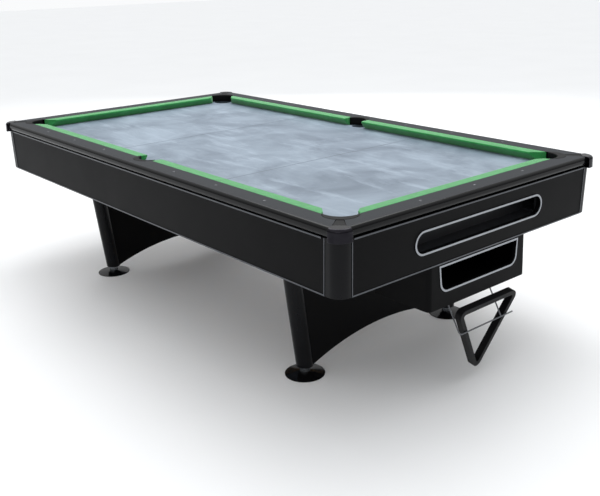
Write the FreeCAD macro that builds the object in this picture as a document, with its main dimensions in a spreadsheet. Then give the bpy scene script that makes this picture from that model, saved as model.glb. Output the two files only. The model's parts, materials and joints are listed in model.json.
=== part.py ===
import FreeCAD, Part
import math
import os
import re
import Sketcher

doc = FreeCAD.newDocument("pool_table")
sheet = doc.addObject("Spreadsheet::Sheet", "sizes")

# Driving sizes in millimetres and degrees.  The table lies along X, its ball return at the +X end.
SIZES = {
    # playing field and heights
    "play_length": 2540,        # cushion nose to cushion nose, along X
    "play_width": 1270,         # cushion nose to cushion nose, along Y
    "rail_height": 840,         # floor to rail top
    "rail_depth": 43,           # slate top to rail top
    "fit_gap": 0.3,             # clearance between pieces that lie against each other
    # slate
    "slate_thick": 25,
    "slate_reach": 115,         # slate edge beyond the cushion nose
    "seam_place": 450,          # slate joints from the middle of the table
    "corner_hole": 55,          # radius of the drop through the slate
    "side_hole": 48,
    "side_shelf": 6,            # slate left in front of a side pocket's drop
    # cushions and rails
    "cushion_depth": 54,
    "nose_height": 36,          # nose above the slate
    "nose_flat": 6,
    "nose_drop": 3,             # top of the nose below the rail top
    "cushion_base": 27,         # how far the cushion leans over the slate
    "corner_mouth": 96,         # tip of a cushion from the crossing of the nose lines
    "side_mouth": 66.5,         # tip of a cushion from the middle of the side pocket
    "corner_facing": 38,        # angle of the cushion end to its nose line
    "side_facing": 76,
    "rail_reach": 147,          # outer face of the rail beyond the nose
    "rail_round": 16,           # radius on the rail's upper outer edge
    "rail_under_round": 20,
    "sight_reach": 93.7,        # sights from the nose line
    "sight_radius": 5.5,
    "sight_proud": 0.5,
    "bolt_reach": 80,
    "bolt_radius": 5,
    "bolt_head_radius": 9,
    "bolt_head": 8,
    "bolt_depth": 20,           # bolt length inside the rail
    # pockets
    "corner_rim": 70,           # outer radius of the corner pocket rim
    "corner_rim_in": 11,        # its centre beyond the nose line, along X
    "corner_rim_out": 7,        # and along Y
    "corner_jaw": 77,           # radius of the opening in the corner rim
    "corner_jaw_back": 47,      # how far the opening's centre lies inside the rim's
    "side_rim": 66,
    "side_rim_out": 37,         # centre of the side pocket rim beyond the nose line
    "side_jaw": 63,
    "side_jaw_back": 27,
    "rim_proud": 1,             # rim above the rail top
    "tab_start": 13,            # half width of the corner filler at the rim
    "tab_end": 25,              # and at the casting
    "tab_reach": 138,           # casting's inner edge from the rim centre
    "tab_low": 1,               # filler below the rail top
    # corner castings
    "casting_reach": 160,       # outer faces beyond the nose line, along X
    "casting_side": 156,        # and along Y
    "casting_end": 103,         # start of the casting on the long side, beyond the nose line
    "casting_splay": 2,         # how far its end face on the short side slants
    "casting_round": 52,
    "casting_edge": 14,
    "casting_skirt": 6,
    # cabinet
    "apron_height": 217,
    "apron_thick": 18,
    "apron_top_reach": 143,     # outer top edge of the end aprons beyond the nose line
    "apron_top_side": 139,      # and of the long aprons
    "apron_lean_end": 10,       # how far the aprons lean in at the bottom
    "apron_lean_side": 7,
    "post_long": 74,            # width of a corner post on the long side, at the top
    "post_end": 64,             # and on the end
    "post_long_flare": 4,       # extra width at the bottom, against the leaning corner
    "post_end_flare": 1,
    "post_round": 50,
    "trim_height": 6,
    "trim_thick": 2,
    "corner_trim": 4,
    # oval window and its tray
    "window_half": 387,
    "window_high": 83,
    "window_up": 71,            # lower edge of the window above the apron's lower edge
    "window_trim": 8,
    "window_trim_thick": 4,
    "tray_deep": 86,
    "tray_half": 400,
    "tray_wall": 4,
    "tray_clear": 35,           # top of the tray's walls under the slate
    "tray_drop": 10,            # tray floor below the window's lower edge
    # ball runs
    "run_inside": 64,
    "run_wall": 4,
    "run_high": 44,
    "run_side": 37,             # middle of a long run beyond the nose line
    "run_head_high": 97,        # height of a long run's head end under the slate top
    "run_fall": 38,             # fall of a long run over its length
    "run_end_gap": 10,
    "return_middle": 70,        # middle of an end run beyond the nose line
    "return_step": 4,
    "return_fall": 8,
    "chute_wall": 3,
    "chute_outlet": 29,
    # timber frame
    "beam_wide": 60,
    "beam_high": 119,
    "beam_half": 1190,
    "header_wide": 120,
    # pedestals
    "leg_place": 843,           # pedestals from the middle of the table
    "leg_foot_side": 460,       # middle of a round post at its lower end
    "leg_top_side": 533,        # and at its upper end
    "leg_foot_radius": 37,
    "leg_top_radius": 40,
    "leg_bottom": 38,
    "panel_thick": 60,
    "arch_radius": 1220,
    "arch_top": 124,
    # levelling feet
    "disc_radius": 86,
    "disc_edge": 3,
    "disc_high": 13,
    "hub_radius": 24,
    "collar_radius": 22.5,
    "stud_radius": 8,
    "stud_grip": 60,            # stud inside the post when fully screwed in
    "stud_spare": 4,
    # ball box below the cabinet
    "box_front": 129,           # front face beyond the nose line
    "box_deep": 289,
    "box_half": 304,
    "box_high": 182,
    "box_wall": 15,
    "box_round": 18,
    "mouth_top_half": 240,
    "mouth_low_half": 230,
    "mouth_up": 69,             # lower edge of the box mouth above the box bottom
    "mouth_round": 36,
    "mouth_trim": 8,
    "mouth_trim_thick": 3,
    # rack holder
    "wire_radius": 3,
    "wire_half": 133,
    "wire_start": 65,           # upper end of the wires beyond the nose line
    "wire_end": 142,            # cross wire beyond the nose line
    "wire_fall": 139,           # cross wire below the box bottom
    "wire_bend": 14,
    "wire_tip": 76,             # free end of the cross wire past the second wire
    # triangle rack
    "ball_size": 57.2,
    "rack_wall": 20,
    "rack_deep": 30,
    "rack_round": 28,
    "rack_inner_round": 10,
    "rack_tilt": 11.5,
    "rack_side": 35,            # middle of the rack from the middle of the table
    "rack_up": 97,              # middle of the top bar above the cross wire
}

for row, (alias, amount) in enumerate(SIZES.items(), start=1):
    sheet.set("A%d" % row, alias.replace("_", " "))
    sheet.set("B%d" % row, str(amount))
    sheet.setAlias("B%d" % row, alias)
doc.recompute()

reckoner = doc.addObject("App::FeaturePython", "reckoner")
reckoner.addProperty("App::PropertyFloat", "Amount")


def bound(text):
    """Return an expression in which each size's alias names its sheet."""
    return re.sub(r"\b[a-z]+(?:_[a-z]+)+\b", lambda word: "sizes." + word.group(0), str(text))


def number(text):
    """Work out an expression as a plain number."""
    reckoner.setExpression("Amount", bound(text))
    reckoner.recompute()
    return reckoner.Amount


def bind(thing, **amounts):
    for name, text in amounts.items():
        thing.setExpression(name, bound(text))


def place(thing, x="0", y="0", z="0", axis=None, angle="0"):
    """Set a placement whose position and turn follow the sheet."""
    if axis is not None:
        thing.Placement = FreeCAD.Placement(FreeCAD.Vector(), FreeCAD.Rotation(axis, 1))
        thing.setExpression(".Placement.Rotation.Angle", bound(angle))
    for name, text in zip("xyz", (x, y, z)):
        thing.setExpression(".Placement.Base." + name, bound(text))
    return thing


X_AXIS = FreeCAD.Vector(1, 0, 0)
Y_AXIS = FreeCAD.Vector(0, 1, 0)
Z_AXIS = FreeCAD.Vector(0, 0, 1)


# ---- small builders ----------------------------------------------------------------------

def box(label, low, high):
    """A block between two corners, each given as three expressions."""
    block = doc.addObject("Part::Box", label)
    spans = ["(%s) - (%s)" % (top, bottom) for top, bottom in zip(high, low)]
    bind(block, Length=spans[0], Width=spans[1], Height=spans[2])
    return place(block, *low)


def cylinder(label, centre, radius, high, axis=None):
    rod = doc.addObject("Part::Cylinder", label)
    bind(rod, Radius=radius, Height=high)
    return place(rod, *centre, axis=axis, angle="90")


def fuse(label, pieces):
    joined = doc.addObject("Part::MultiFuse", label)
    joined.Shapes = pieces
    return joined


def group(label, pieces):
    """Several separate solids under one name."""
    together = doc.addObject("Part::Compound", label)
    together.Links = pieces
    return together


def cut(label, base, tools):
    trimmed = doc.addObject("Part::Cut", label)
    trimmed.Base = base
    trimmed.Tool = tools[0] if len(tools) == 1 else group(label + "_tools", tools)
    return trimmed


def common(label, first, second):
    shared = doc.addObject("Part::Common", label)
    shared.Base = first
    shared.Tool = second
    return shared


def mirrored(label, source, normal):
    image = doc.addObject("Part::Mirroring", label)
    image.Source = source
    image.Normal = normal
    return image


def rounded(label, base, radius, chosen):
    """Round the edges of a piece whose middle point passes a test."""
    doc.recompute()
    fillet = doc.addObject("Part::Fillet", label)
    fillet.Base = base
    size = number(radius)
    edges = enumerate(base.Shape.Edges, start=1)
    fillet.Edges = [(index, size, size) for index, edge in edges if chosen(edge)]
    return fillet


def middle(edge):
    return edge.valueAt((edge.FirstParameter + edge.LastParameter) / 2)


def near(first, second):
    return abs(first - second) < 0.05


def drawn_body(label, plane, points, start="0"):
    """A body with one closed outline, drawn from expressions on one of its planes."""
    body = doc.addObject("PartDesign::Body", label)
    sketch = body.newObject("Sketcher::SketchObject", label + "_outline")
    support = next(item for item in body.Origin.OriginFeatures if item.Role == plane)
    sketch.AttachmentSupport = [(support, "")]
    sketch.MapMode = "FlatFace"
    sketch.setExpression(".AttachmentOffset.Base.z", bound(start))
    corners = [FreeCAD.Vector(number(across), number(up), 0) for across, up in points]
    for first, second in zip(corners, corners[1:] + corners[:1]):
        sketch.addGeometry(Part.LineSegment(first, second))
    count = len(corners)
    for index in range(count):
        following = (index + 1) % count
        sketch.addConstraint(Sketcher.Constraint("Coincident", index, 2, following, 1))
    for index, (across, up) in enumerate(points):
        for kind, text, amount in (
            ("DistanceX", across, corners[index].x),
            ("DistanceY", up, corners[index].y),
        ):
            rule = sketch.addConstraint(Sketcher.Constraint(kind, -1, 1, index, 1, amount))
            sketch.setExpression("Constraints[%d]" % rule, bound(text))
    return body, sketch


def prism(label, plane, points, start, high, against=False):
    """A straight-sided outline padded along its plane's normal."""
    body, sketch = drawn_body(label, plane, points, start)
    pad = body.newObject("PartDesign::Pad", label + "_pad")
    pad.Profile = sketch
    pad.Reversed = against
    bind(pad, Length=high)
    return body


def turned(label, points):
    """An outline of radius and height, revolved about Z."""
    body, sketch = drawn_body(label, "XZ_Plane", points)
    spin = body.newObject("PartDesign::Revolution", label + "_turn")
    spin.Profile = sketch
    spin.ReferenceAxis = (sketch, ["V_Axis"])
    spin.Angle = 360
    return body


def shaped(label, shape):
    """A piece whose shape no single feature gives."""
    piece = doc.addObject("Part::Feature", label)
    piece.Shape = shape
    return piece


def ring_wire(x, y, z, radius):
    circle = Part.Circle(FreeCAD.Vector(x, y, z), Z_AXIS, radius)
    return Part.Wire([circle.toShape()])


def slanted_round(low, low_radius, high, high_radius):
    """A leaning round solid between two level circles."""
    return Part.makeLoft([ring_wire(*low, low_radius), ring_wire(*high, high_radius)], True, True)


parts = []


def keep(piece, label):
    """Give a finished sub-part its name."""
    piece.Label = label
    parts.append(piece)
    return piece


def keep_four(piece, name):
    """Keep a piece of the +X +Y corner and its three mirror images."""
    keep(piece, name + "_foot_left")
    keep(mirrored(name + "_m1", piece, Y_AXIS), name + "_foot_right")
    opposite = keep(mirrored(name + "_m2", piece, X_AXIS), name + "_head_left")
    keep(mirrored(name + "_m3", opposite, Y_AXIS), name + "_head_right")


def four(label, piece):
    """The piece of one corner and its mirror images, as one group."""
    right = mirrored(label + "_q1", piece, Y_AXIS)
    pair = group(label + "_q2", [piece, right])
    return [pair, mirrored(label + "_q3", pair, X_AXIS)]


# ---- places worked out from the driving sizes ----------------------------------------------

NOSE_X = "play_length / 2"
NOSE_Y = "play_width / 2"
SLATE_TOP = "(rail_height - rail_depth)"
SLATE_LOW = "(rail_height - rail_depth - slate_thick)"
ON_SLATE = "(rail_height - rail_depth + fit_gap)"
APRON_TOP = "(rail_height - rail_depth - fit_gap)"
CABINET_LOW = "(rail_height - rail_depth - fit_gap - apron_height)"
RIM_X = "(play_length / 2 + corner_rim_in)"
RIM_Y = "(play_width / 2 + corner_rim_out)"
SIDE_RIM_Y = "(play_width / 2 + side_rim_out)"
BACK_X = "(play_length / 2 + cushion_depth)"
BACK_Y = "(play_width / 2 + cushion_depth)"
OUT_X = "(play_length / 2 + rail_reach)"
OUT_Y = "(play_width / 2 + rail_reach)"
CAST_X = "(play_length / 2 + casting_reach)"
CAST_Y = "(play_width / 2 + casting_side)"
DIAGONAL = "sqrt(0.5)"


def corner_point(along, across):
    """A point given along and across the diagonal through the corner pocket."""
    x = "%s + ((%s) - (%s)) * %s" % (RIM_X, along, across, DIAGONAL)
    y = "%s + ((%s) + (%s)) * %s" % (RIM_Y, along, across, DIAGONAL)
    return x, y


def pocket_clearance():
    """Cylinders through which no rail or cushion reaches: one corner pocket and one side pocket."""
    low = SLATE_LOW
    corner = cylinder("corner_clear", (RIM_X, RIM_Y, low), "corner_rim + fit_gap", "rail_height")
    side = cylinder("side_clear", ("0", SIDE_RIM_Y, low), "side_rim + fit_gap", "rail_height")
    return corner, side


corner_clear, side_clear = pocket_clearance()
right_corner_clear = mirrored("right_corner_clear", corner_clear, Y_AXIS)


# ---- rail bolts: positions shared by the bolts, slate and rails -------------------------------

def bolt_places():
    """Bolt positions in one quarter of the table, midway between sights, and on its middle line."""
    pitch = "play_length / 8"
    side = [("%s * %s" % (pitch, step), NOSE_Y + " + bolt_reach") for step in (0.5, 1.5, 2.5)]
    end = [(NOSE_X + " + bolt_reach", "%s * %s" % (pitch, step)) for step in (0.5, 1.25)]
    return side + end


def bolt_set(label, radius_text, low, high, head=False):
    quarter = []
    for index, (x, y) in enumerate(bolt_places()):
        name = "%s_%d" % (label, index)
        shank = cylinder(name, (x, y, low), radius_text, "(%s) - (%s)" % (high, low))
        if head:
            base = "(%s) - bolt_head" % low
            cap = cylinder(name + "_head", (x, y, base), "bolt_head_radius", "bolt_head")
            shank = fuse(name + "_bolt", [cap, shank])
        quarter.append(shank)
    return four(label, group(label + "_quarter", quarter))


BOLT_LOW = SLATE_LOW + " - fit_gap"
BOLT_HIGH = SLATE_TOP + " + bolt_depth"
bolt_holes = bolt_set("bolt_hole", "bolt_radius + fit_gap", SLATE_LOW + " - 1", BOLT_HIGH + " + 1")


def rail_bolts():
    bolts = group("rail_bolts", bolt_set("bolt", "bolt_radius", BOLT_LOW, BOLT_HIGH, head=True))
    keep(bolts, "rail_bolts")


# ---- slate, rails and cushions -----------------------------------------------------------------

def slates():
    """Three slabs side by side, with the drops of the six pockets cut out."""
    corner = cylinder("corner_drop", (RIM_X, RIM_Y, "0"), "corner_hole", "rail_height")
    side_y = NOSE_Y + " + side_shelf + side_hole"
    side = cylinder("side_drop", ("0", side_y, "0"), "side_hole", "rail_height")
    corners = four("corner_drops", corner)
    sides = [side, mirrored("side_drop_right", side, Y_AXIS)]
    edge_x = NOSE_X + " + slate_reach"
    edge_y = NOSE_Y + " + slate_reach"
    seam = "seam_place - fit_gap / 2"
    middle_slab = box(
        "slate_block_middle",
        ("-(%s)" % seam, "-(%s)" % edge_y, SLATE_LOW),
        (seam, edge_y, SLATE_TOP),
    )
    end_slab = box(
        "slate_block_foot",
        ("seam_place + fit_gap / 2", "-(%s)" % edge_y, SLATE_LOW),
        (edge_x, edge_y, SLATE_TOP),
    )
    outer_x = number(edge_x)
    half_way = number(SLATE_TOP) - number("slate_thick") / 2

    def upright_outer(edge):
        return near(middle(edge).x, outer_x) and near(middle(edge).z, half_way)

    rounded_slab = rounded("slate_rounded", end_slab, "post_round - apron_thick", upright_outer)
    keep(cut("slate_middle", middle_slab, sides + bolt_holes), "slate_middle")
    foot = keep(cut("slate_foot", rounded_slab, corners + bolt_holes), "slate_foot")
    keep(mirrored("slate_head", foot, X_AXIS), "slate_head")


def rail_blank(label, outline, on_outer):
    """A rail before its pocket cut-outs, its outer edges rounded over."""
    blank = prism(label + "_blank", "XY_Plane", outline, ON_SLATE, "rail_depth - fit_gap")
    top = number("rail_height")
    low = number(ON_SLATE)
    upper = rounded(
        label + "_upper", blank, "rail_round",
        lambda edge: on_outer(middle(edge)) and near(middle(edge).z, top),
    )
    return rounded(
        label + "_lower", upper, "rail_under_round",
        lambda edge: on_outer(middle(edge)) and near(middle(edge).z, low),
    )


def long_rails():
    """The rail of one long side between its side pocket and its corner pocket."""
    tab_inner = corner_point("corner_rim - 10", "tab_start + fit_gap")
    tab_outer = corner_point("tab_reach", "tab_end + fit_gap")
    outline = [
        ("fit_gap / 2", BACK_Y),
        (RIM_X, BACK_Y),
        tab_inner,
        tab_outer,
        (NOSE_X + " + casting_end - fit_gap", OUT_Y),
        ("fit_gap / 2", OUT_Y),
    ]
    out_y = number(OUT_Y)
    blank = rail_blank("long_rail", outline, lambda point: near(point.y, out_y))
    rail = cut("rail_long", blank, [corner_clear, side_clear] + bolt_holes)
    keep_four(rail, "rail")


def end_rails():
    """The rail across one end, between two corner pockets."""
    back = BACK_X
    inner = corner_point("corner_rim - 10", "-tab_start - fit_gap")
    outer = corner_point("tab_reach", "-tab_end - fit_gap")
    half = [
        (back, RIM_Y),
        inner,
        outer,
        (OUT_X, "(%s) + casting_splay" % outer[1]),
    ]
    outline = [(x, "-(%s)" % y) for x, y in half] + half[::-1]
    out_x = number(OUT_X)
    blank = rail_blank("end_rail", outline, lambda point: near(point.x, out_x))
    rail = cut("rail_foot_end", blank, [corner_clear, right_corner_clear] + bolt_holes)
    keep(rail, "rail_foot_end")
    keep(mirrored("rail_head_end", rail, X_AXIS), "rail_head_end")


def cushion_section():
    """The rubber's section: distance behind the nose, and height."""
    back = "cushion_depth - fit_gap"
    nose_top = SLATE_TOP + " + nose_height + nose_flat / 2"
    nose_low = SLATE_TOP + " + nose_height - nose_flat / 2"
    return [
        ("0", nose_low),
        ("cushion_base", ON_SLATE),
        (back, ON_SLATE),
        (back, "rail_height"),
        ("nose_flat", "rail_height - nose_drop / 2"),
        ("0", nose_top),
    ]


def cushions():
    side_back = "side_mouth - cushion_depth / tan(side_facing)"
    corner_run = "cushion_depth / tan(corner_facing)"
    plan = [
        ("side_mouth", NOSE_Y),
        (NOSE_X + " - corner_mouth", NOSE_Y),
        (NOSE_X + " - corner_mouth + " + corner_run, BACK_Y),
        (side_back, BACK_Y),
    ]
    section = [("%s + %s" % (NOSE_Y, across), up) for across, up in cushion_section()]
    strip = prism("long_strip", "YZ_Plane", section, "0", NOSE_X + " + cushion_depth")
    outline = prism("long_cushion_plan", "XY_Plane", plan, "0", "rail_height * 2")
    whole = common("long_cushion_whole", strip, outline)
    cushion = cut("cushion_long", whole, [corner_clear, side_clear])
    keep_four(cushion, "cushion")

    tip = NOSE_Y + " - corner_mouth"
    back = "%s + %s" % (tip, corner_run)
    end_plan = [
        (NOSE_X, "-(%s)" % tip),
        (BACK_X, "-(%s)" % back),
        (BACK_X, back),
        (NOSE_X, tip),
    ]
    end_section = [("%s + %s" % (NOSE_X, across), up) for across, up in cushion_section()]
    end_strip = prism("end_strip", "XZ_Plane", end_section, "-(%s)" % BACK_Y, "2 * (%s)" % BACK_Y)
    end_outline = prism("end_cushion_plan", "XY_Plane", end_plan, "0", "rail_height * 2")
    end_whole = common("end_cushion_whole", end_strip, end_outline)
    end_cushion = cut("cushion_foot_end", end_whole, [corner_clear, right_corner_clear])
    keep(end_cushion, "cushion_foot_end")
    keep(mirrored("cushion_head_end", end_cushion, X_AXIS), "cushion_head_end")


# ---- pockets ------------------------------------------------------------------------------------

def pocket_rims():
    """Crescent rims: a round rim with an off-centre opening, open towards the playing field."""
    rim_high = "rail_depth - fit_gap + rim_proud"
    outer = cylinder("corner_rim_outer", (RIM_X, RIM_Y, ON_SLATE), "corner_rim", rim_high)
    jaw_x, jaw_y = corner_point("-corner_jaw_back", "0")
    opening = cylinder("corner_rim_opening", (jaw_x, jaw_y, "0"), "corner_jaw", "rail_height * 2")
    open_x, open_y = corner_point("0", "corner_rim * 2")
    field = box("corner_field", ("0", "0", "0"), ("corner_rim * 4", "corner_rim * 4", "rail_height * 2"))
    place(field, open_x, open_y, "0", Z_AXIS, "225")
    keep_four(cut("corner_rim", outer, [opening, field]), "corner_rim")

    side_outer = cylinder("side_rim_outer", ("0", SIDE_RIM_Y, ON_SLATE), "side_rim", rim_high)
    jaw = cylinder(
        "side_rim_opening", ("0", SIDE_RIM_Y + " - side_jaw_back", "0"), "side_jaw", "rail_height * 2",
    )
    side_field = box(
        "side_field", ("-side_rim * 2", "0", "0"), ("side_rim * 2", SIDE_RIM_Y, "rail_height * 2"),
    )
    left = keep(cut("side_rim", side_outer, [jaw, side_field]), "side_rim_left")
    keep(mirrored("side_rim_m", left, Y_AXIS), "side_rim_right")


def filler_tabs():
    """The flat fillers on the corner diagonals, between the rims and the castings."""
    outline = [
        corner_point("corner_rim / 2", "-tab_start"),
        corner_point("corner_rim", "-tab_start"),
        corner_point("tab_reach - fit_gap", "-tab_end"),
        corner_point("tab_reach - fit_gap", "tab_end"),
        corner_point("corner_rim", "tab_start"),
        corner_point("corner_rim / 2", "tab_start"),
    ]
    blank = prism("tab_blank", "XY_Plane", outline, ON_SLATE, "rail_depth - fit_gap - tab_low")
    tab = cut("tab", blank, [corner_clear])
    keep(group("filler_tabs", four("tabs", tab)), "filler_tabs")


def corner_castings():
    """Rounded metal caps over the corners of the rails, with a skirt outside the posts."""
    inner_long = corner_point("tab_reach", "tab_end")
    inner_end = corner_point("tab_reach", "-tab_end")
    outline = [
        inner_long,
        inner_end,
        (OUT_X, inner_end[1] + " + casting_splay + fit_gap"),
        (CAST_X, inner_end[1] + " + casting_splay + fit_gap"),
        (CAST_X, CAST_Y),
        (NOSE_X + " + casting_end", CAST_Y),
        (NOSE_X + " + casting_end", OUT_Y),
    ]
    low = APRON_TOP + " - casting_skirt"
    high = "rail_height + rim_proud - (%s)" % low
    blank = prism("casting_blank", "XY_Plane", outline, low, high)
    far_x = number(CAST_X)
    far_y = number(CAST_Y)
    round_corner = rounded(
        "casting_round_corner", blank, "casting_round",
        lambda edge: near(middle(edge).x, far_x) and near(middle(edge).y, far_y),
    )
    top = number("rail_height + rim_proud")
    start = number(NOSE_X + " + casting_end")
    reach = number(inner_end[1] + " + casting_splay + fit_gap")

    def outer_top(edge):
        point = middle(edge)
        curved = edge.Curve.TypeId == "Part::GeomCircle"
        outside = near(point.x, far_x) or near(point.y, far_y) or curved
        return near(point.z, top) and outside and point.x > start - 1 and point.y > reach - 1

    capped = rounded("casting_cap", round_corner, "casting_edge", outer_top)
    inside_x = NOSE_X + " + apron_top_reach + fit_gap"
    inside_y = NOSE_Y + " + apron_top_side + fit_gap"
    room = box("post_room", ("0", "0", "0"), (inside_x, inside_y, ON_SLATE))
    room_x = number(inside_x)
    room_y = number(inside_y)
    hollow = rounded(
        "post_room_round", room, "post_round",
        lambda edge: near(middle(edge).x, room_x) and near(middle(edge).y, room_y),
    )
    keep_four(cut("casting", capped, [hollow]), "corner_casting")


def pocket_chutes():
    """Funnels that lead a ball from each pocket's drop into the ball run below."""
    wall = number("chute_wall")
    outlet = number("chute_outlet")
    gap = number("fit_gap")
    top = number(SLATE_LOW) - gap
    run_y = number(NOSE_Y + " + run_side")
    length = number("2 * (%s)" % RUN_HALF)
    funnels = []
    rim_x = number(RIM_X)
    side_y = number(NOSE_Y + " + side_shelf + side_hole")
    corner_y = number(RIM_Y)
    for x, y, radius in (
        (-rim_x, corner_y, number("corner_hole")),
        (0, side_y, number("side_hole")),
        (rim_x, corner_y, number("corner_hole")),
    ):
        fallen = (x + length / 2) / length * number("run_fall")
        low = number(RUN_HEAD + " + run_high") - fallen + 2 * gap
        outside = slanted_round((x, run_y, low), outlet + wall, (x, y, top), radius + wall)
        inside = slanted_round((x, run_y, low), outlet, (x, y, top), radius)
        funnels.append(outside.cut(inside))
    left = shaped("chutes_left", Part.makeCompound(funnels))
    keep(group("pocket_chutes", [left, mirrored("chutes_right", left, Y_AXIS)]), "pocket_chutes")


# ---- ball runs and return tray ---------------------------------------------------------------------

RUN_HALF = "(play_length / 2 + return_middle + run_inside / 2 + run_wall)"
RUN_HEAD = "(rail_height - rail_depth - run_head_high - run_wall)"
TRAY_FLOOR = "(%s + window_up - tray_drop)" % CABINET_LOW
RETURN_LOW = "(%s - run_fall - return_step)" % RUN_HEAD


def ball_runs():
    """Sloping channels: one along each side, and one from its foot end to the tray."""
    wide = "run_inside + 2 * run_wall"
    length = "2 * " + RUN_HALF
    outer = box("run_outer", ("0", "0", "0"), (length, wide, "run_high"))
    inner = box(
        "run_inner", ("run_wall", "run_wall", "run_wall"),
        (length + " - run_wall", "run_wall + run_inside", "run_high + 1"),
    )
    exit_start = length + " - run_wall - run_inside"
    way_out = box(
        "run_exit", (exit_start, "-1", "run_wall"),
        (length + " - run_wall", "run_wall + 1", "run_high + 1"),
    )
    channel = cut("long_run", outer, [inner, way_out])
    place(
        channel, "-" + RUN_HALF, NOSE_Y + " + run_side - run_inside / 2 - run_wall", RUN_HEAD,
        Y_AXIS, "atan(run_fall / (2 * %s))" % RUN_HALF,
    )
    start = NOSE_Y + " + run_side - run_inside / 2 - run_wall - fit_gap"
    # The tilted channel's upper edge leans towards the tray, so it starts that much further out.
    lean = "fit_gap + run_high * return_fall / (%s - tray_half)" % start
    reach = "(%s) - tray_half - (%s)" % (start, lean)
    end_outer = box("end_run_outer", ("0", "0", "0"), (wide, reach, "run_high"))
    end_inner = box("end_run_inner", ("run_wall", "-1", "run_wall"),
                    ("run_wall + run_inside", "(%s) + 1" % reach, "run_high + 1"))
    end_channel = cut("end_run", end_outer, [end_inner])
    place(
        end_channel, NOSE_X + " + return_middle - run_inside / 2 - run_wall", "tray_half + " + lean,
        RETURN_LOW + " - return_fall", X_AXIS, "atan(return_fall / (%s))" % reach,
    )
    pair = group("runs_left", [channel, end_channel])
    keep(group("ball_runs", [pair, mirrored("runs_right", pair, Y_AXIS)]), "ball_runs")


def return_tray():
    """The shallow bin behind the oval window, open to the window and to both end runs."""
    back = NOSE_X + " + return_middle - run_inside / 2 - run_wall - tray_wall"
    front = "(%s) + tray_deep" % back
    low = TRAY_FLOOR + " - tray_wall"
    top = SLATE_LOW + " - tray_clear"
    above = top + " + 1"
    outer = box("tray_outer", (back, "-tray_half", low), (front, "tray_half", top))
    inner = box(
        "tray_inner", ("(%s) + tray_wall" % back, "-tray_half + tray_wall", TRAY_FLOOR),
        ("(%s) + 1" % front, "tray_half - tray_wall", above),
    )
    sill = RETURN_LOW + " - return_fall + run_wall"
    gate = box(
        "tray_gate", ("(%s) + 2 * tray_wall" % back, "-tray_half - 1", sill),
        ("(%s) + 2 * tray_wall + run_inside" % back, "tray_half + 1", above),
    )
    keep(cut("return_tray", outer, [inner, gate]), "return_tray")


# ---- cabinet ------------------------------------------------------------------------------------------

TOP_X = "(play_length / 2 + apron_top_reach)"
TOP_Y = "(play_width / 2 + apron_top_side)"
LOW_X = "(play_length / 2 + apron_top_reach - apron_lean_end)"
LOW_Y = "(play_width / 2 + apron_top_side - apron_lean_side)"
LEAN_SIDE = "atan(apron_lean_side / apron_height)"
LEAN_END = "atan(apron_lean_end / apron_height)"
# The aprons' own heights, so that the inner top edge of a leaning apron stays under the rail.
LONG_HIGH = "((apron_height - apron_thick * sin(%s)) / cos(%s))" % (LEAN_SIDE, LEAN_SIDE)
END_HIGH = "((apron_height - apron_thick * sin(%s)) / cos(%s))" % (LEAN_END, LEAN_END)
LONG_TOP = "(%s - post_long)" % TOP_X
LONG_LOW = "(%s - post_long - post_long_flare)" % LOW_X
END_TOP = "(%s - post_end)" % TOP_Y
END_LOW = "(%s - post_end + post_end_flare)" % LOW_Y


def stadium(label, half_long, half_high, start, deep):
    """A bar with round ends, lying along Y, that runs through along X."""
    straight = "(%s) - (%s)" % (half_long, half_high)
    block = box(label + "_bar", (start, "-(%s)" % straight, "-(%s)" % half_high),
                ("(%s) + (%s)" % (start, deep), straight, half_high))
    ends = [
        cylinder(label + "_end_" + name, (start, text, "0"), half_high, deep, axis=Y_AXIS)
        for name, text in (("left", straight), ("right", "-(%s)" % straight))
    ]
    return fuse(label, [block] + ends)


def leaning_long(piece):
    """Lean a piece drawn on the long apron's upright outer face."""
    return place(piece, "0", LOW_Y, CABINET_LOW, X_AXIS, "-" + LEAN_SIDE)


def leaning_end(piece):
    """Lean a piece drawn on the end apron's upright outer face."""
    return place(piece, LOW_X, "0", CABINET_LOW, Y_AXIS, LEAN_END)


def aprons():
    long_outline = [
        ("-%s + fit_gap" % LONG_LOW, "0"),
        ("%s - fit_gap" % LONG_LOW, "0"),
        ("%s - fit_gap" % LONG_TOP, LONG_HIGH),
        ("-%s + fit_gap" % LONG_TOP, LONG_HIGH),
    ]
    side = leaning_long(prism("apron_side", "XZ_Plane", long_outline, "0", "apron_thick"))
    keep(side, "apron_left")
    keep(mirrored("apron_side_m", side, Y_AXIS), "apron_right")

    end_outline = [
        ("-%s + fit_gap" % END_LOW, "0"),
        ("%s - fit_gap" % END_LOW, "0"),
        ("%s - fit_gap" % END_TOP, END_HIGH),
        ("-%s + fit_gap" % END_TOP, END_HIGH),
    ]
    plain = leaning_end(prism("apron_end", "YZ_Plane", end_outline, "0", "apron_thick", True))
    keep(mirrored("apron_end_m", plain, X_AXIS), "apron_head_end")
    window = stadium("window", "window_half", "window_high / 2", "-3 * apron_thick", "6 * apron_thick")
    place(window, LOW_X, "0", "%s + window_up + window_high / 2" % CABINET_LOW)
    keep(cut("apron_window", plain, [window]), "apron_foot_end")


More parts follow.
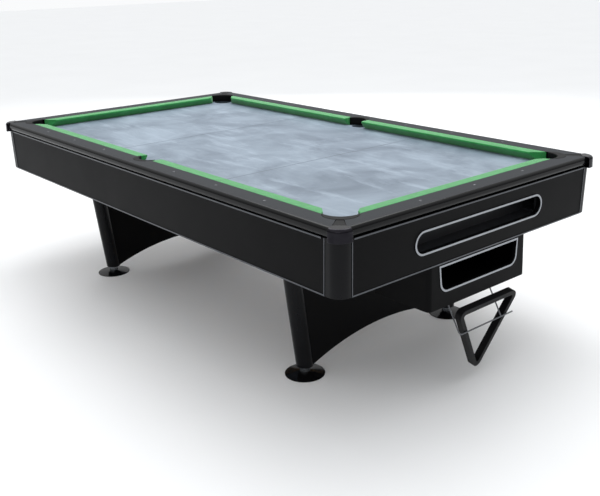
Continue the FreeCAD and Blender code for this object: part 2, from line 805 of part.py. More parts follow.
def post_outline(height, out_x, out_y, start_x, start_y):
    """The L-shaped section of a corner post with its rounded outer corner."""
    radius = number("post_round")
    thick = number("apron_thick")

    def at(x, y):
        return FreeCAD.Vector(x, y, height)

    def bend(size):
        """Half-way point of the corner arc of this radius."""
        share = size * math.sqrt(0.5)
        return at(out_x - radius + share, out_y - radius + share)

    straight = [
        (at(start_x, out_y), at(out_x - radius, out_y)),
        (at(out_x, out_y - radius), at(out_x, start_y)),
        (at(out_x, start_y), at(out_x - thick, start_y)),
        (at(out_x - thick, start_y), at(out_x - thick, out_y - radius)),
        (at(out_x - radius, out_y - thick), at(start_x, out_y - thick)),
        (at(start_x, out_y - thick), at(start_x, out_y)),
    ]
    lines = [Part.makeLine(first, second) for first, second in straight]
    outer = Part.Arc(straight[0][1], bend(radius), straight[1][0]).toShape()
    inner = Part.Arc(straight[3][1], bend(radius - thick), straight[4][0]).toShape()
    edges = [lines[0], outer, lines[1], lines[2], lines[3], inner, lines[4], lines[5]]
    return Part.Wire(edges)


def corner_posts():
    top = post_outline(number(APRON_TOP), number(TOP_X), number(TOP_Y), number(LONG_TOP), number(END_TOP))
    low = post_outline(number(CABINET_LOW), number(LOW_X), number(LOW_Y), number(LONG_LOW), number(END_LOW))
    keep_four(shaped("corner_post", Part.makeLoft([low, top], True, True)), "corner_post")


def strip_prisms(name, plane, high, foot_place, head_place, start, against_front):
    """Edge strips along an apron's low and top edges, and upright ones beside the posts."""
    begin = "-(%s) - trim_thick" % start if against_front else start
    reach = "%s - fit_gap" % foot_place
    strips = []
    for level, low, top in (("low", "0", "trim_height"), ("top", high + " - trim_height", high)):
        outline = [("-(%s)" % reach, low), (reach, low), (reach, top), ("-(%s)" % reach, top)]
        strips.append(prism(name + "_trim_" + level, plane, outline, begin, "trim_thick"))
    for side, sign in (("a", ""), ("b", "-")):
        foot = sign + "(%s)" % foot_place
        head = sign + "(%s)" % head_place
        wide = " + " + sign + "corner_trim"
        outline = [(foot, "0"), (foot + wide, "0"), (head + wide, high), (head, high)]
        strips.append(prism(name + "_upright_" + side, plane, outline, begin, "trim_thick"))
    return strips


def apron_trims():
    """Thin bright strips along the aprons' edges and beside the corner posts."""
    start = "fit_gap / 2"
    long_strips = strip_prisms("long", "XZ_Plane", LONG_HIGH, LONG_LOW, LONG_TOP, start, True)
    end_strips = strip_prisms("end", "YZ_Plane", END_HIGH, END_LOW, END_TOP, start, False)
    long_set = leaning_long(group("long_trims", long_strips))
    end_set = leaning_end(group("end_trims", end_strips))
    every = [
        long_set,
        mirrored("long_trims_m", long_set, Y_AXIS),
        end_set,
        mirrored("end_trims_m", end_set, X_AXIS),
    ]
    keep(group("apron_trims", every), "apron_trims")

    up = "window_up + window_high / 2"
    outer = stadium("window_trim_outer", "window_half + window_trim", "window_high / 2 + window_trim",
                    "0", "window_trim_thick")
    inner = stadium("window_trim_inner", "window_half", "window_high / 2", "-1", "window_trim_thick + 2")
    ring = cut("window_ring", outer, [inner])
    place(ring, start, "0", up)
    keep(leaning_end(group("window_trim", [ring])), "window_trim")


def timber_frame():
    """Two long beams, cross beams at the slate joints and ends, and the headers on the pedestals."""
    outer = NOSE_Y + " + run_side - run_inside / 2 - run_wall - fit_gap"
    inner = "(%s) - beam_wide" % outer
    top = SLATE_LOW + " - fit_gap"
    low = "(%s) - beam_high" % top
    beam = box("long_beam", ("-beam_half", inner, low), ("beam_half", outer, top))
    cross_reach = "(%s) - fit_gap" % inner
    seam = box(
        "seam_beam", ("seam_place - beam_wide / 2", "-(%s)" % cross_reach, low),
        ("seam_place + beam_wide / 2", cross_reach, top),
    )
    end = box(
        "end_beam", ("beam_half - beam_wide", "-(%s)" % cross_reach, low),
        ("beam_half", cross_reach, top),
    )
    header = box(
        "header", ("leg_place - header_wide / 2", "-(%s)" % outer, CABINET_LOW + " + fit_gap"),
        ("leg_place + header_wide / 2", outer, "(%s) - fit_gap" % low),
    )
    foot_half = group("frame_foot_half", [seam, end, header])
    pieces = [
        beam,
        mirrored("long_beam_m", beam, Y_AXIS),
        foot_half,
        mirrored("frame_head_half", foot_half, X_AXIS),
    ]
    keep(group("timber_frame", pieces), "timber_frame")


# ---- pedestals and levelling feet ------------------------------------------------------------------------

def pedestals():
    """Two leaning round posts joined by an arched panel, at each end."""
    x = number("leg_place")
    low = (x, number("leg_foot_side"), number("leg_bottom"))
    top = (x, number("leg_top_side"), number(CABINET_LOW))
    low_radius = number("leg_foot_radius")
    top_radius = number("leg_top_radius")
    gap = number("fit_gap")
    solid = shaped("leg_solid", slanted_round(low, low_radius, top, top_radius))
    bore = cylinder(
        "stud_bore", ("leg_place", "leg_foot_side", "0"), "stud_radius + fit_gap",
        "leg_bottom + stud_grip + stud_spare",
    )
    keep_four(cut("leg_post", solid, [bore]), "leg_post")

    clear = shaped("leg_clear", slanted_round(low, low_radius + gap, top, top_radius + gap))
    outline = [
        ("-leg_foot_side", "leg_bottom"),
        ("leg_foot_side", "leg_bottom"),
        ("leg_top_side", CABINET_LOW),
        ("-leg_top_side", CABINET_LOW),
    ]
    board = prism("panel_board", "YZ_Plane", outline, "leg_place - panel_thick / 2", "panel_thick")
    arch = cylinder("arch", ("0", "0", "arch_top - arch_radius"), "arch_radius", "play_length", axis=Y_AXIS)
    panel = cut("leg_panel", board, [arch, clear, mirrored("leg_clear_m", clear, Y_AXIS)])
    keep(panel, "leg_panel_foot")
    keep(mirrored("leg_panel_m", panel, X_AXIS), "leg_panel_head")


def levelling_feet():
    """A domed disc on the floor and, above it, a collar with the stud that screws into the post."""
    disc = turned("foot_disc", [
        ("0", "0"),
        ("disc_radius", "0"),
        ("disc_radius", "disc_edge"),
        ("hub_radius", "disc_high"),
        ("0", "disc_high"),
    ])
    place(disc, "leg_place", "leg_foot_side")
    keep_four(disc, "foot_disc")
    stud = turned("foot_stud", [
        ("0", "disc_high + fit_gap"),
        ("collar_radius", "disc_high + fit_gap"),
        ("collar_radius", "leg_bottom - fit_gap"),
        ("stud_radius", "leg_bottom - fit_gap"),
        ("stud_radius", "leg_bottom + stud_grip"),
        ("0", "leg_bottom + stud_grip"),
    ])
    place(stud, "leg_place", "leg_foot_side")
    keep_four(stud, "foot_stud")


# ---- ball box, rack holder and rack ------------------------------------------------------------------------

BOX_FRONT = "(play_length / 2 + box_front)"
BOX_TOP = "(%s - fit_gap)" % CABINET_LOW
BOX_LOW = "(%s - fit_gap - box_high)" % CABINET_LOW


def mouth(label, extra, start, deep):
    """The box mouth's outline, wider at the top, its lower corners rounded."""
    outline = [
        ("-mouth_low_half - (%s)" % extra, "%s + mouth_up - (%s)" % (BOX_LOW, extra)),
        ("mouth_low_half + (%s)" % extra, "%s + mouth_up - (%s)" % (BOX_LOW, extra)),
        ("mouth_top_half + (%s)" % extra, "%s - box_wall + (%s)" % (BOX_TOP, extra)),
        ("-mouth_top_half - (%s)" % extra, "%s - box_wall + (%s)" % (BOX_TOP, extra)),
    ]
    sharp = prism(label + "_sharp", "YZ_Plane", outline, start, deep)
    low = number("%s + mouth_up - (%s)" % (BOX_LOW, extra))

    def lower_corner(edge):
        ends = [vertex.Point for vertex in edge.Vertexes]
        return near(ends[0].z, low) and near(ends[1].z, low) and near(ends[0].y, ends[1].y)

    return rounded(label, sharp, "mouth_round + (%s)" % extra, lower_corner)


def ball_box():
    """The open-fronted box that hangs under the foot end of the cabinet."""
    back = BOX_FRONT + " - box_deep"
    block = box("box_block", (back, "-box_half", BOX_LOW), (BOX_FRONT, "box_half", BOX_TOP))
    front = number(BOX_FRONT)
    half = number("box_half")
    shell = rounded(
        "box_rounded", block, "box_round",
        lambda edge: near(middle(edge).x, front) and near(abs(middle(edge).y), half),
    )
    room = box(
        "box_room", ("(%s) + box_wall" % back, "-box_half + box_wall", BOX_LOW + " + box_wall"),
        (BOX_FRONT + " - box_wall", "box_half - box_wall", BOX_TOP + " - box_wall"),
    )
    opening = mouth("box_mouth", "0", BOX_FRONT + " - 2 * box_wall", "3 * box_wall")
    keep(cut("ball_box", shell, [room, opening]), "ball_box")

    start = BOX_FRONT + " + fit_gap / 2"
    outer = mouth("mouth_trim_outer", "mouth_trim", start, "mouth_trim_thick")
    inner = mouth("mouth_trim_inner", "0", BOX_FRONT + " - box_wall", "3 * box_wall")
    keep(cut("box_trim", outer, [inner]), "box_trim")


def rack_holder():
    """Two wires that slope out from under the box to a cross wire with one free end."""
    radius = number("wire_radius")
    half = number("wire_half")
    start_x = number(NOSE_X + " + wire_start")
    end_x = number(NOSE_X + " + wire_end")
    top = number(BOX_LOW + " - fit_gap")
    low = number(BOX_LOW + " - wire_fall")
    bend = number("wire_bend")
    tip = number("wire_tip")
    corner = FreeCAD.Vector(end_x, -half, low)
    last = FreeCAD.Vector(end_x, half + tip, low)
    down = (corner - FreeCAD.Vector(start_x, -half, top)).normalize()
    # Each wire starts a little too high, and is then trimmed level.
    spare = down * (4 * radius)
    first = FreeCAD.Vector(start_x, -half, top) - spare
    before = corner - down * bend
    after = corner + Y_AXIS * bend
    centre_way = (Y_AXIS - down).normalize()
    sag = bend * (math.sqrt(2) - 1)
    arc = Part.Arc(before, corner + centre_way * sag, after).toShape()
    path = Part.Wire([Part.makeLine(first, before), arc, Part.makeLine(after, last)])
    ring = Part.Wire([Part.Circle(first, down, radius).toShape()])
    bent = path.makePipeShell([ring], True, True)
    second_start = first + Y_AXIS * (2 * half)
    # The second wire is welded to the inner upper side of the cross wire.
    weld = FreeCAD.Vector(end_x - radius / 2, half, low + radius / 2)
    run = weld - second_start
    second = Part.makeCylinder(radius, run.Length, second_start, run)
    above = Part.makeBox(
        10 * radius, 3 * half, 10 * radius, FreeCAD.Vector(start_x - 8 * radius, -1.5 * half, top),
    )
    keep(shaped("rack_holder", bent.fuse(second).cut(above)), "rack_holder")


def triangle_rack():
    """An equal-sided frame that holds fifteen balls, point down, leaning against the cross wire."""
    inner_side = number("ball_size * (4 + sqrt(3))")
    wall = number("rack_wall")
    tilt = math.radians(number("rack_tilt"))

    def three_sided(label, side, deep, start):
        piece = doc.addObject("Part::Prism", label)
        piece.Polygon = 3
        piece.Circumradius = side / math.sqrt(3)
        piece.Height = deep
        piece.Placement.Base = FreeCAD.Vector(0, 0, start)
        return piece

    def upright(edge):
        return near(abs(edge.tangentAt(edge.FirstParameter).z), 1)

    deep = number("rack_deep")
    outer_side = inner_side + 2 * math.sqrt(3) * wall
    outer = rounded("rack_outer", three_sided("rack_outer_block", outer_side, deep, 0), "rack_round", upright)
    inner_block = three_sided("rack_inner_block", inner_side, 3 * deep, -deep)
    inner = rounded("rack_inner", inner_block, "rack_inner_round", upright)
    frame = cut("rack_frame", outer, [inner])
    low = number(BOX_LOW + " - wire_fall")
    up = number("rack_up")
    front = number(NOSE_X + " + wire_end - wire_radius - fit_gap")
    # The centre of the frame lies below its top bar by a third of the triangle's height.
    bar_to_centre = (inner_side / math.sqrt(3) + wall) / 2
    plane_x = front - deep / 2 / math.cos(tilt) + up * math.tan(tilt)
    along = FreeCAD.Vector(math.sin(tilt), 0, math.cos(tilt))
    normal = FreeCAD.Vector(math.cos(tilt), 0, -math.sin(tilt))
    centre = FreeCAD.Vector(plane_x, number("rack_side"), low + up) - along * bar_to_centre
    # Local Z lies along the frame's normal and the triangle's point along -up.
    turn = FreeCAD.Rotation(along * -1, FreeCAD.Vector(0, 1, 0), normal, "ZXY")
    frame.Placement = FreeCAD.Placement(centre - normal * (deep / 2), turn)
    keep(frame, "triangle_rack")


def rail_sights():
    """Small round markers on the rails at eighths of the field's length."""
    pitch = "play_length / 8"
    side_y = NOSE_Y + " + sight_reach"
    end_x = NOSE_X + " + sight_reach"
    places = [("%s * %d" % (pitch, step), side_y) for step in (1, 2, 3)] + [(end_x, pitch)]
    quarter = [
        cylinder("sight_%d" % index, (x, y, "rail_height"), "sight_radius", "sight_proud")
        for index, (x, y) in enumerate(places)
    ]
    middle_sight = cylinder("sight_middle", (end_x, "0", "rail_height"), "sight_radius", "sight_proud")
    pieces = four("sights", group("sight_quarter", quarter))
    pieces += [middle_sight, mirrored("sight_middle_m", middle_sight, X_AXIS)]
    keep(group("rail_sights", pieces), "rail_sights")


slates()
long_rails()
end_rails()
cushions()
pocket_rims()
filler_tabs()
corner_castings()
pocket_chutes()
rail_bolts()
rail_sights()
ball_runs()
return_tray()
aprons()
corner_posts()
apron_trims()
timber_frame()
pedestals()
levelling_feet()
ball_box()
rack_holder()
triangle_rack()

doc.recompute()
for item in doc.Objects:
    if "Invalid" in item.State or "Error" in item.State:
        raise RuntimeError("%s failed: %s" % (item.Name, item.State))
for piece in parts:
    if piece.Shape.isNull() or not piece.Shape.isValid():
        raise RuntimeError("%s has no valid shape" % piece.Label)

os.makedirs("parts", exist_ok=True)
for piece in parts:
    piece.Shape.exportStep("parts/%s.step" % piece.Label)
    print(piece.Label, len(piece.Shape.Solids), round(piece.Shape.Volume))
print(len(parts), "sub-parts")
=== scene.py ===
import bpy
import json
import numpy as np
from mathutils import Matrix


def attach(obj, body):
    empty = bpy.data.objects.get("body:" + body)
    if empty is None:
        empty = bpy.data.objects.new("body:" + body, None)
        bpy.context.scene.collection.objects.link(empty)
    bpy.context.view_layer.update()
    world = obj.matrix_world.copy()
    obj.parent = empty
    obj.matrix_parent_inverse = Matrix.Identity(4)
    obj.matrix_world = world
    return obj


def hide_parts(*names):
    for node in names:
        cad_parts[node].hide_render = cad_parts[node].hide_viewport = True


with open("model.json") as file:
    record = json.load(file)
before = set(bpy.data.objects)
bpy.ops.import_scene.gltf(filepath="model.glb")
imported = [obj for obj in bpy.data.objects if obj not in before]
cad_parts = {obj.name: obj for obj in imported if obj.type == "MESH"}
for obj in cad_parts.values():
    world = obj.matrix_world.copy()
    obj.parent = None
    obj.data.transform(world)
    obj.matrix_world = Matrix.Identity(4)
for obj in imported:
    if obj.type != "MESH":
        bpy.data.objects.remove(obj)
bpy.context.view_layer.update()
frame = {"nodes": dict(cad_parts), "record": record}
mm = 0.001
print("frame loaded:", len(frame["nodes"]), "nodes")

cameraLook = {
    "place": (3.403, -2.587, 1.715),  # metres
    "azimuth": 48.85,  # degrees round from -Y
    "elevation": 12.58,
    "roll": -1.09,
    "lens": 50.94,  # mm on a 36 mm sensor
    "shift": (-0.0337, -0.1635),
}


def addCamera(look):
    azimuth, elevation, roll = np.radians([look["azimuth"], look["elevation"], look["roll"]])
    back = np.array([
        np.sin(azimuth) * np.cos(elevation),
        -np.cos(azimuth) * np.cos(elevation),
        np.sin(elevation),
    ])
    level = np.array([np.cos(azimuth), np.sin(azimuth), 0.0])
    upright = np.cross(back, level)
    right = level * np.cos(roll) + upright * np.sin(roll)
    up = upright * np.cos(roll) - level * np.sin(roll)
    data = bpy.data.cameras.new("tableCamera")
    data.lens = look["lens"]
    data.sensor_width = 36
    data.shift_x, data.shift_y = look["shift"]
    camera = bpy.data.objects.new("tableCamera", data)
    columns = np.column_stack([right, up, back])
    camera.matrix_world = Matrix.Translation(look["place"]) @ Matrix(columns.tolist()).to_4x4()
    bpy.context.scene.collection.objects.link(camera)
    bpy.context.scene.camera = camera


addCamera(cameraLook)
print("camera placed")


def gridFaces(rows, columns):
    # quads between neighbouring points of a grid whose last column joins its first
    index = np.arange(rows * columns).reshape(rows, columns)
    following = np.roll(index, -1, axis=1)
    corners = [index[:-1], index[1:], following[1:], following[:-1]]
    return np.stack(corners, axis=-1).reshape(-1, 4)


def facesOutward(points, faces):
    # signed volume: a fan of every face from its first corner
    total = 0.0
    for face in faces:
        corners = points[list(face)]
        total += np.sum(np.cross(corners[1:-1], corners[2:]) @ corners[0])
    return total > 0


def makePiece(name, points, faces, uv=None):
    points = np.asarray(points, float).reshape(-1, 3)
    faces = [list(map(int, face)) for face in faces]
    if not facesOutward(points, faces):
        faces = [face[::-1] for face in faces]
    mesh = bpy.data.meshes.new(name)
    mesh.from_pydata(points.tolist(), [], faces)
    mesh.polygons.foreach_set("use_smooth", np.ones(len(faces), bool))
    if uv is not None:
        layer = mesh.uv_layers.new(name="cloth")
        corners = np.zeros(len(mesh.loops), np.int32)
        mesh.loops.foreach_get("vertex_index", corners)
        layer.data.foreach_set("uv", np.asarray(uv, np.float32).reshape(-1, 2)[corners].ravel())
    mesh.update()
    piece = bpy.data.objects.new(name, mesh)
    bpy.context.scene.collection.objects.link(piece)
    return piece


def keepSharp(piece, degrees):
    # smooth faces, parted where they meet at more than this angle
    split = piece.modifiers.new("sharpEdges", "EDGE_SPLIT")
    split.split_angle = np.radians(degrees)


def colour(hexText):
    # sRGB hex to linear red, green, blue, alpha
    parts = np.array([int(hexText[place:place + 2], 16) for place in (1, 3, 5)]) / 255
    linear = np.where(parts <= 0.04045, parts / 12.92, ((parts + 0.055) / 1.055) ** 2.4)
    return (*linear.tolist(), 1.0)


def add(tree, kind, values={}, links={}, **settings):
    made = tree.nodes.new(kind)
    for name, value in settings.items():
        setattr(made, name, value)
    for socket, value in values.items():
        made.inputs[socket].default_value = value
    for socket, source in links.items():
        tree.links.new(source, made.inputs[socket])
    return made


def startMaterial(name, shaderValues):
    material = bpy.data.materials.new(name)
    material.use_nodes = True
    tree = material.node_tree
    shader = tree.nodes["Principled BSDF"]
    for socket, value in shaderValues.items():
        shader.inputs[socket].default_value = value
    coordinates = add(tree, "ShaderNodeTexCoord")
    return material, tree, shader, coordinates


def plainFinish(name, look):
    # two close tones in soft patches, uneven gloss, a fine surface grain, and worn edges a shade lighter
    material, tree, shader, coordinates = startMaterial(name, look.get("shader", {}))
    where = add(
        tree, "ShaderNodeMapping", {"Scale": look.get("stretch", (1, 1, 1))},
        {"Vector": coordinates.outputs["Object"]},
    ).outputs["Vector"]
    patches = add(
        tree, "ShaderNodeTexNoise", {"Scale": 1 / (look["patch"] * mm), "Detail": 4.0}, {"Vector": where}
    )
    tones = add(
        tree, "ShaderNodeMix", {6: colour(look["dark"]), 7: colour(look["light"])},
        {0: patches.outputs["Fac"]}, data_type="RGBA",
    )
    soft = add(tree, "ShaderNodeBevel", {"Radius": look["edge"] * mm}, samples=4)
    flat = add(tree, "ShaderNodeNewGeometry")
    along = add(
        tree, "ShaderNodeVectorMath", {}, {0: soft.outputs["Normal"], 1: flat.outputs["Normal"]},
        operation="DOT_PRODUCT",
    )
    worn = add(
        tree, "ShaderNodeMapRange", {"From Min": 0.98, "From Max": 0.75, "To Max": look["wear"]},
        {"Value": along.outputs["Value"]},
    )
    edged = add(
        tree, "ShaderNodeMix", {7: colour(look["worn"])},
        {0: worn.outputs["Result"], 6: tones.outputs[2]}, data_type="RGBA",
    )
    tree.links.new(edged.outputs[2], shader.inputs["Base Color"])
    gloss = add(
        tree, "ShaderNodeMapRange", {"To Min": look["rough"][0], "To Max": look["rough"][1]},
        {"Value": patches.outputs["Fac"]},
    )
    tree.links.new(gloss.outputs["Result"], shader.inputs["Roughness"])
    grain = add(
        tree, "ShaderNodeTexNoise", {"Scale": 1 / (look["grain"] * mm), "Detail": 3.0}, {"Vector": where}
    )
    relief = add(
        tree, "ShaderNodeBump", {"Strength": look["relief"], "Distance": look["depth"] * mm},
        {"Height": grain.outputs["Fac"], "Normal": soft.outputs["Normal"]},
    )
    tree.links.new(relief.outputs["Normal"], shader.inputs["Normal"])
    return material


slateLook = {
    "deep": "#5F6C7A", "pale": "#8593A1", "dust": "#9FADBB", "seam": "#4E5965",
    "cloud": 330,  # mm across the mineral clouds
    "smear": 120,  # mm across the wiped dust
    "grit": 3.0,  # mm, drawn coarser than the grinding really is so that it shows
    "seamPlace": 450, "seamWide": 5,  # mm
    "rough": (0.36, 0.56),
}


def honedSlate(look):
    # slate ground flat and left bare: blue-grey mineral clouds, dust wiped in long smears, a dull sheen
    material, tree, shader, coordinates = startMaterial(
        "honedSlate", {"IOR": 1.55, "Specular IOR Level": 0.4}
    )
    where = coordinates.outputs["Object"]
    clouds = add(
        tree, "ShaderNodeTexNoise",
        {"Scale": 1 / (look["cloud"] * mm), "Detail": 8.0, "Roughness": 0.62, "Distortion": 0.6},
        {"Vector": where},
    )
    spread = add(
        tree, "ShaderNodeMapRange", {"From Min": 0.34, "From Max": 0.66}, {"Value": clouds.outputs["Fac"]}
    )
    stone = add(
        tree, "ShaderNodeMix", {6: colour(look["deep"]), 7: colour(look["pale"])},
        {0: spread.outputs["Result"]}, data_type="RGBA",
    )
    wiped = add(
        tree, "ShaderNodeMapping", {"Rotation": (0, 0, 0.5), "Scale": (0.35, 1.6, 1)}, {"Vector": where}
    )
    smears = add(
        tree, "ShaderNodeTexNoise", {"Scale": 1 / (look["smear"] * mm), "Detail": 6.0, "Roughness": 0.7},
        {"Vector": wiped.outputs["Vector"]},
    )
    dusty = add(
        tree, "ShaderNodeMapRange", {"From Min": 0.52, "From Max": 0.74, "To Max": 0.65},
        {"Value": smears.outputs["Fac"]},
    )
    dusted = add(
        tree, "ShaderNodeMix", {7: colour(look["dust"])},
        {0: dusty.outputs["Result"], 6: stone.outputs[2]}, data_type="RGBA",
    )
    axes = add(tree, "ShaderNodeSeparateXYZ", {}, {"Vector": where})
    distance = add(tree, "ShaderNodeMath", {}, {0: axes.outputs["X"]}, operation="ABSOLUTE")
    offSeam = add(
        tree, "ShaderNodeMath", {1: look["seamPlace"] * mm}, {0: distance.outputs["Value"]},
        operation="SUBTRACT",
    )
    near = add(tree, "ShaderNodeMath", {}, {0: offSeam.outputs["Value"]}, operation="ABSOLUTE")
    filled = add(
        tree, "ShaderNodeMapRange",
        {"From Min": look["seamWide"] * mm, "From Max": 0.4 * look["seamWide"] * mm, "To Max": 0.8},
        {"Value": near.outputs["Value"]},
    )
    seamed = add(
        tree, "ShaderNodeMix", {7: colour(look["seam"])},
        {0: filled.outputs["Result"], 6: dusted.outputs[2]}, data_type="RGBA",
    )
    tree.links.new(seamed.outputs[2], shader.inputs["Base Color"])
    gloss = add(
        tree, "ShaderNodeMapRange", {"To Min": look["rough"][0], "To Max": look["rough"][1]},
        {"Value": smears.outputs["Fac"]},
    )
    tree.links.new(gloss.outputs["Result"], shader.inputs["Roughness"])
    grit = add(
        tree, "ShaderNodeTexNoise", {"Scale": 1 / (look["grit"] * mm), "Detail": 4.0}, {"Vector": where}
    )
    relief = add(
        tree, "ShaderNodeBump", {"Strength": 0.25, "Distance": 0.2 * mm}, {"Height": grit.outputs["Fac"]}
    )
    tree.links.new(relief.outputs["Normal"], shader.inputs["Normal"])
    return material


clothLook = {
    "shade": "#167232", "lit": "#2C9A4B", "fuzz": "#58BA72",
    "thread": 1.6,  # mm, about three times the real worsted thread so that the weave shows
    "nap": 35,  # mm across the patches where the nap lies differently
}


def billiardCloth(look):
    # worsted wool stretched over rubber: bright green, a tight plain weave, short nap that catches light
    material, tree, shader, coordinates = startMaterial(
        "billiardCloth", {"Roughness": 0.85, "Sheen Weight": 0.35, "Sheen Roughness": 0.45, "IOR": 1.45}
    )
    halfWave = np.pi / (look["thread"] * mm)  # each thread takes half a wave
    split = add(tree, "ShaderNodeSeparateXYZ", {}, {"Vector": coordinates.outputs["UV"]})
    waves = []
    for axis in ("X", "Y"):
        scaled = add(tree, "ShaderNodeMath", {1: halfWave}, {0: split.outputs[axis]}, operation="MULTIPLY")
        waves.append(add(tree, "ShaderNodeMath", {}, {0: scaled.outputs["Value"]}, operation="SINE"))
    crossed = add(
        tree, "ShaderNodeMath", {}, {0: waves[0].outputs["Value"], 1: waves[1].outputs["Value"]},
        operation="MULTIPLY",
    )
    weave = add(
        tree, "ShaderNodeMapRange", {"From Min": -1.0, "From Max": 1.0}, {"Value": crossed.outputs["Value"]}
    )
    nap = add(
        tree, "ShaderNodeTexNoise", {"Scale": 1 / (look["nap"] * mm), "Detail": 5.0, "Roughness": 0.65},
        {"Vector": coordinates.outputs["Object"]},
    )
    blend = add(
        tree, "ShaderNodeMath", {}, {0: weave.outputs["Result"], 1: nap.outputs["Fac"]}, operation="MULTIPLY"
    )
    green = add(
        tree, "ShaderNodeMix", {6: colour(look["shade"]), 7: colour(look["lit"])},
        {0: nap.outputs["Fac"]}, data_type="RGBA",
    )
    raised = add(
        tree, "ShaderNodeMapRange", {"From Min": 0.3, "From Max": 0.8, "To Max": 0.5},
        {"Value": blend.outputs["Value"]},
    )
    fuzzy = add(
        tree, "ShaderNodeMix", {7: colour(look["fuzz"])},
        {0: raised.outputs["Result"], 6: green.outputs[2]}, data_type="RGBA",
    )
    tree.links.new(fuzzy.outputs[2], shader.inputs["Base Color"])
    relief = add(
        tree, "ShaderNodeBump", {"Strength": 0.35, "Distance": 0.25 * mm}, {"Height": weave.outputs["Result"]}
    )
    tree.links.new(relief.outputs["Normal"], shader.inputs["Normal"])
    return material


railLook = {
    # the top tones are paler than the edge tones: a painted sheen on the flat top
    "top": "#14181D", "topPale": "#1E2329", "edge": "#030304", "edgePale": "#060708",
    "fleck": 4.0,  # mm
    "topRough": 0.4, "edgeRough": 0.14,
}


def railLaminate(look):
    # high-pressure laminate: softly flecked and satin on top, post-formed to a glossy black edge; the flat
    # top is painted a paler grey than the edge, a painted sheen of light
    material, tree, shader, coordinates = startMaterial(
        "railLaminate", {"IOR": 1.5, "Specular IOR Level": 0.16}
    )
    where = coordinates.outputs["Object"]
    flecks = add(
        tree, "ShaderNodeTexNoise", {"Scale": 1 / (look["fleck"] * mm), "Detail": 5.0, "Roughness": 0.7},
        {"Vector": where},
    )
    top = add(
        tree, "ShaderNodeMix", {6: colour(look["top"]), 7: colour(look["topPale"])},
        {0: flecks.outputs["Fac"]}, data_type="RGBA",
    )
    edge = add(
        tree, "ShaderNodeMix", {6: colour(look["edge"]), 7: colour(look["edgePale"])},
        {0: flecks.outputs["Fac"]}, data_type="RGBA",
    )
    facing = add(tree, "ShaderNodeNewGeometry")
    upward = add(tree, "ShaderNodeSeparateXYZ", {}, {"Vector": facing.outputs["Normal"]})
    # mask of the upward-facing top, which takes the paler tones: painted sheen chosen by the surface normal
    flat = add(
        tree, "ShaderNodeMapRange", {"From Min": 0.93, "From Max": 0.995}, {"Value": upward.outputs["Z"]}
    )
    tones = add(
        tree, "ShaderNodeMix", {},
        {0: flat.outputs["Result"], 6: edge.outputs[2], 7: top.outputs[2]}, data_type="RGBA",
    )
    tree.links.new(tones.outputs[2], shader.inputs["Base Color"])
    gloss = add(
        tree, "ShaderNodeMapRange", {"To Min": look["edgeRough"], "To Max": look["topRough"]},
        {"Value": flat.outputs["Result"]},
    )
    tree.links.new(gloss.outputs["Result"], shader.inputs["Roughness"])
    relief = add(
        tree, "ShaderNodeBump", {"Strength": 0.12, "Distance": 0.2 * mm}, {"Height": flecks.outputs["Fac"]}
    )
    tree.links.new(relief.outputs["Normal"], shader.inputs["Normal"])
    return material


timberLook = {
    "early": "#CFA873", "late": "#9C7243",
    "waveScale": 50 / 9,  # a growth ring about every 113 mm
}


def planedPine(look):
    # planed softwood: straw-coloured early wood between darker rings that wander along the board
    material, tree, shader, coordinates = startMaterial("planedPine", {"IOR": 1.5, "Roughness": 0.62})
    bent = add(
        tree, "ShaderNodeMapping", {"Scale": (0.08, 1, 1)}, {"Vector": coordinates.outputs["Object"]}
    )
    rings = add(
        tree, "ShaderNodeTexWave",
        {"Scale": look["waveScale"], "Distortion": 5.0, "Detail": 3.0, "Detail Scale": 1.5},
        {"Vector": bent.outputs["Vector"]}, bands_direction="DIAGONAL",
    )
    tones = add(
        tree, "ShaderNodeMix", {6: colour(look["early"]), 7: colour(look["late"])},
        {0: rings.outputs["Fac"]}, data_type="RGBA",
    )
    tree.links.new(tones.outputs[2], shader.inputs["Base Color"])
    relief = add(
        tree, "ShaderNodeBump", {"Strength": 0.2, "Distance": 0.2 * mm}, {"Height": rings.outputs["Fac"]}
    )
    tree.links.new(relief.outputs["Normal"], shader.inputs["Normal"])
    return material


